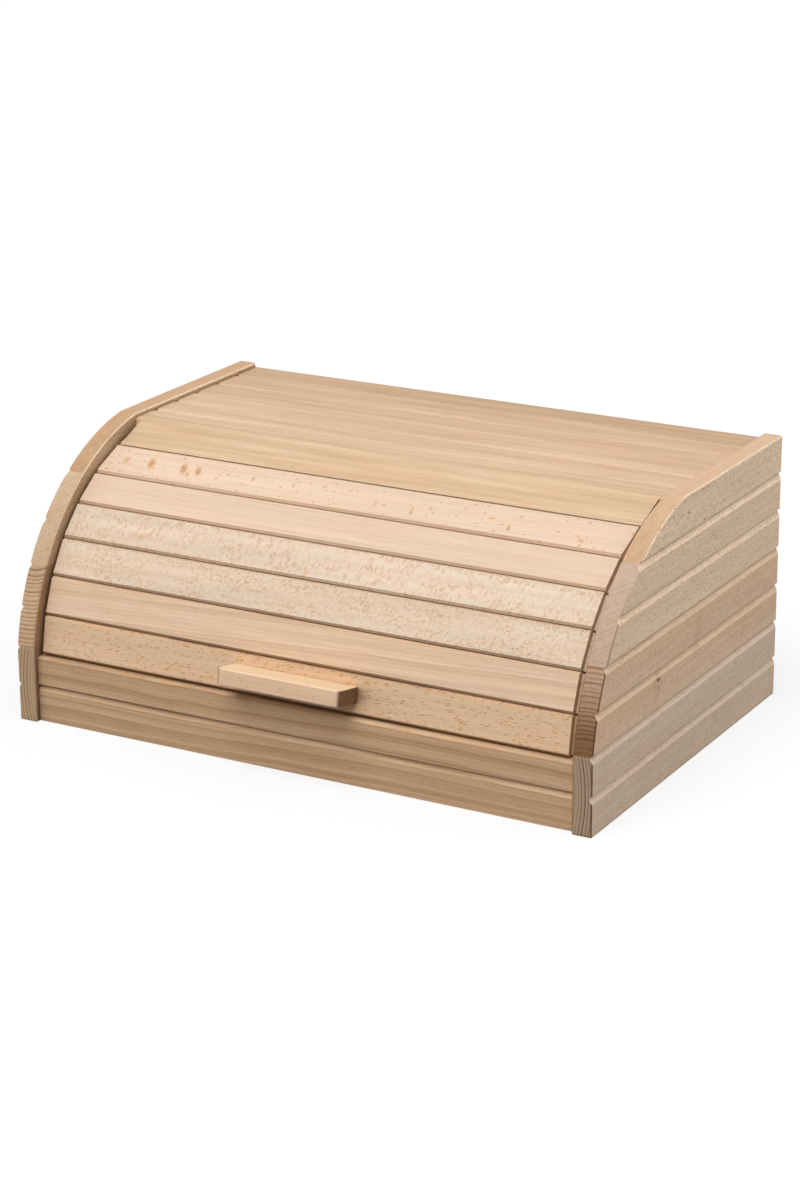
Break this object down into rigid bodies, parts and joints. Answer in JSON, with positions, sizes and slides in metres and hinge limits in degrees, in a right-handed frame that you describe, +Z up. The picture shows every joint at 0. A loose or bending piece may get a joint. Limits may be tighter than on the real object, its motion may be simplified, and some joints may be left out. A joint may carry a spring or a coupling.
{
  "type": "roll top bread box",
  "caption": "Wooden bread box with V-grooved board sides and a curved roll front of hinged slats that slides up under the fixed top, pulled by a small block handle.",
  "frame": {"origin": "middle of the underside of the base panel, halfway between the side panels and between the case's front and back faces", "axes": "+X to the right side, seen from the front; +Y from the front to the back; +Z up"},
  "size_m": [0.41, 0.2876, 0.176],
  "materials": {
    "beech_case": "oiled beech, side and back boards",
    "beech_slats": "oiled beech slats",
    "beech_handle": "oiled beech handle",
    "beech_top": "oiled beech, top boards",
    "beech_rail": "oiled beech, front rail",
    "base_wood": "plain beech plywood",
    "dowel_wood": "plain beech dowel",
    "nail_steel": "bright steel nail",
    "screw_brass": "plain brass screw",
    "canvas": "unbleached cotton canvas, glued"
  },
  "bodies": {
    "case": {"front_rail": "beech_rail", "base_panel": "base_wood", "base_nails": "nail_steel", "rail_dowels": "dowel_wood", "back_dowels": "dowel_wood", "left_side_board_1": "beech_case", "left_side_board_2": "beech_case", "left_side_board_3": "beech_case", "left_side_board_4": "beech_case", "right_side_board_1": "beech_case", "right_side_board_2": "beech_case", "right_side_board_3": "beech_case", "right_side_board_4": "beech_case", "back_board_1": "beech_case", "back_board_2": "beech_case", "back_board_3": "beech_case", "back_board_4": "beech_case", "top_board_1": "beech_top", "top_board_2": "beech_top", "top_board_3": "beech_top", "top_board_4": "beech_top"},
    "roll_front": {"slat_1": "beech_slats", "slat_2": "beech_slats", "slat_3": "beech_slats", "slat_4": "beech_slats", "slat_5": "beech_slats", "slat_6": "beech_slats", "slat_7": "beech_slats", "handle": "beech_handle", "handle_screws": "screw_brass", "canvas_backing": "canvas"}
  },
  "joints": [
    {"name": "roll_front_slide", "type": "hinge", "parent": "case", "child": "roll_front", "pos_m": [0, 0.004, 0.0325], "axis": [-1, 0, 0], "range_deg": [0, 58.8]}
  ]
}
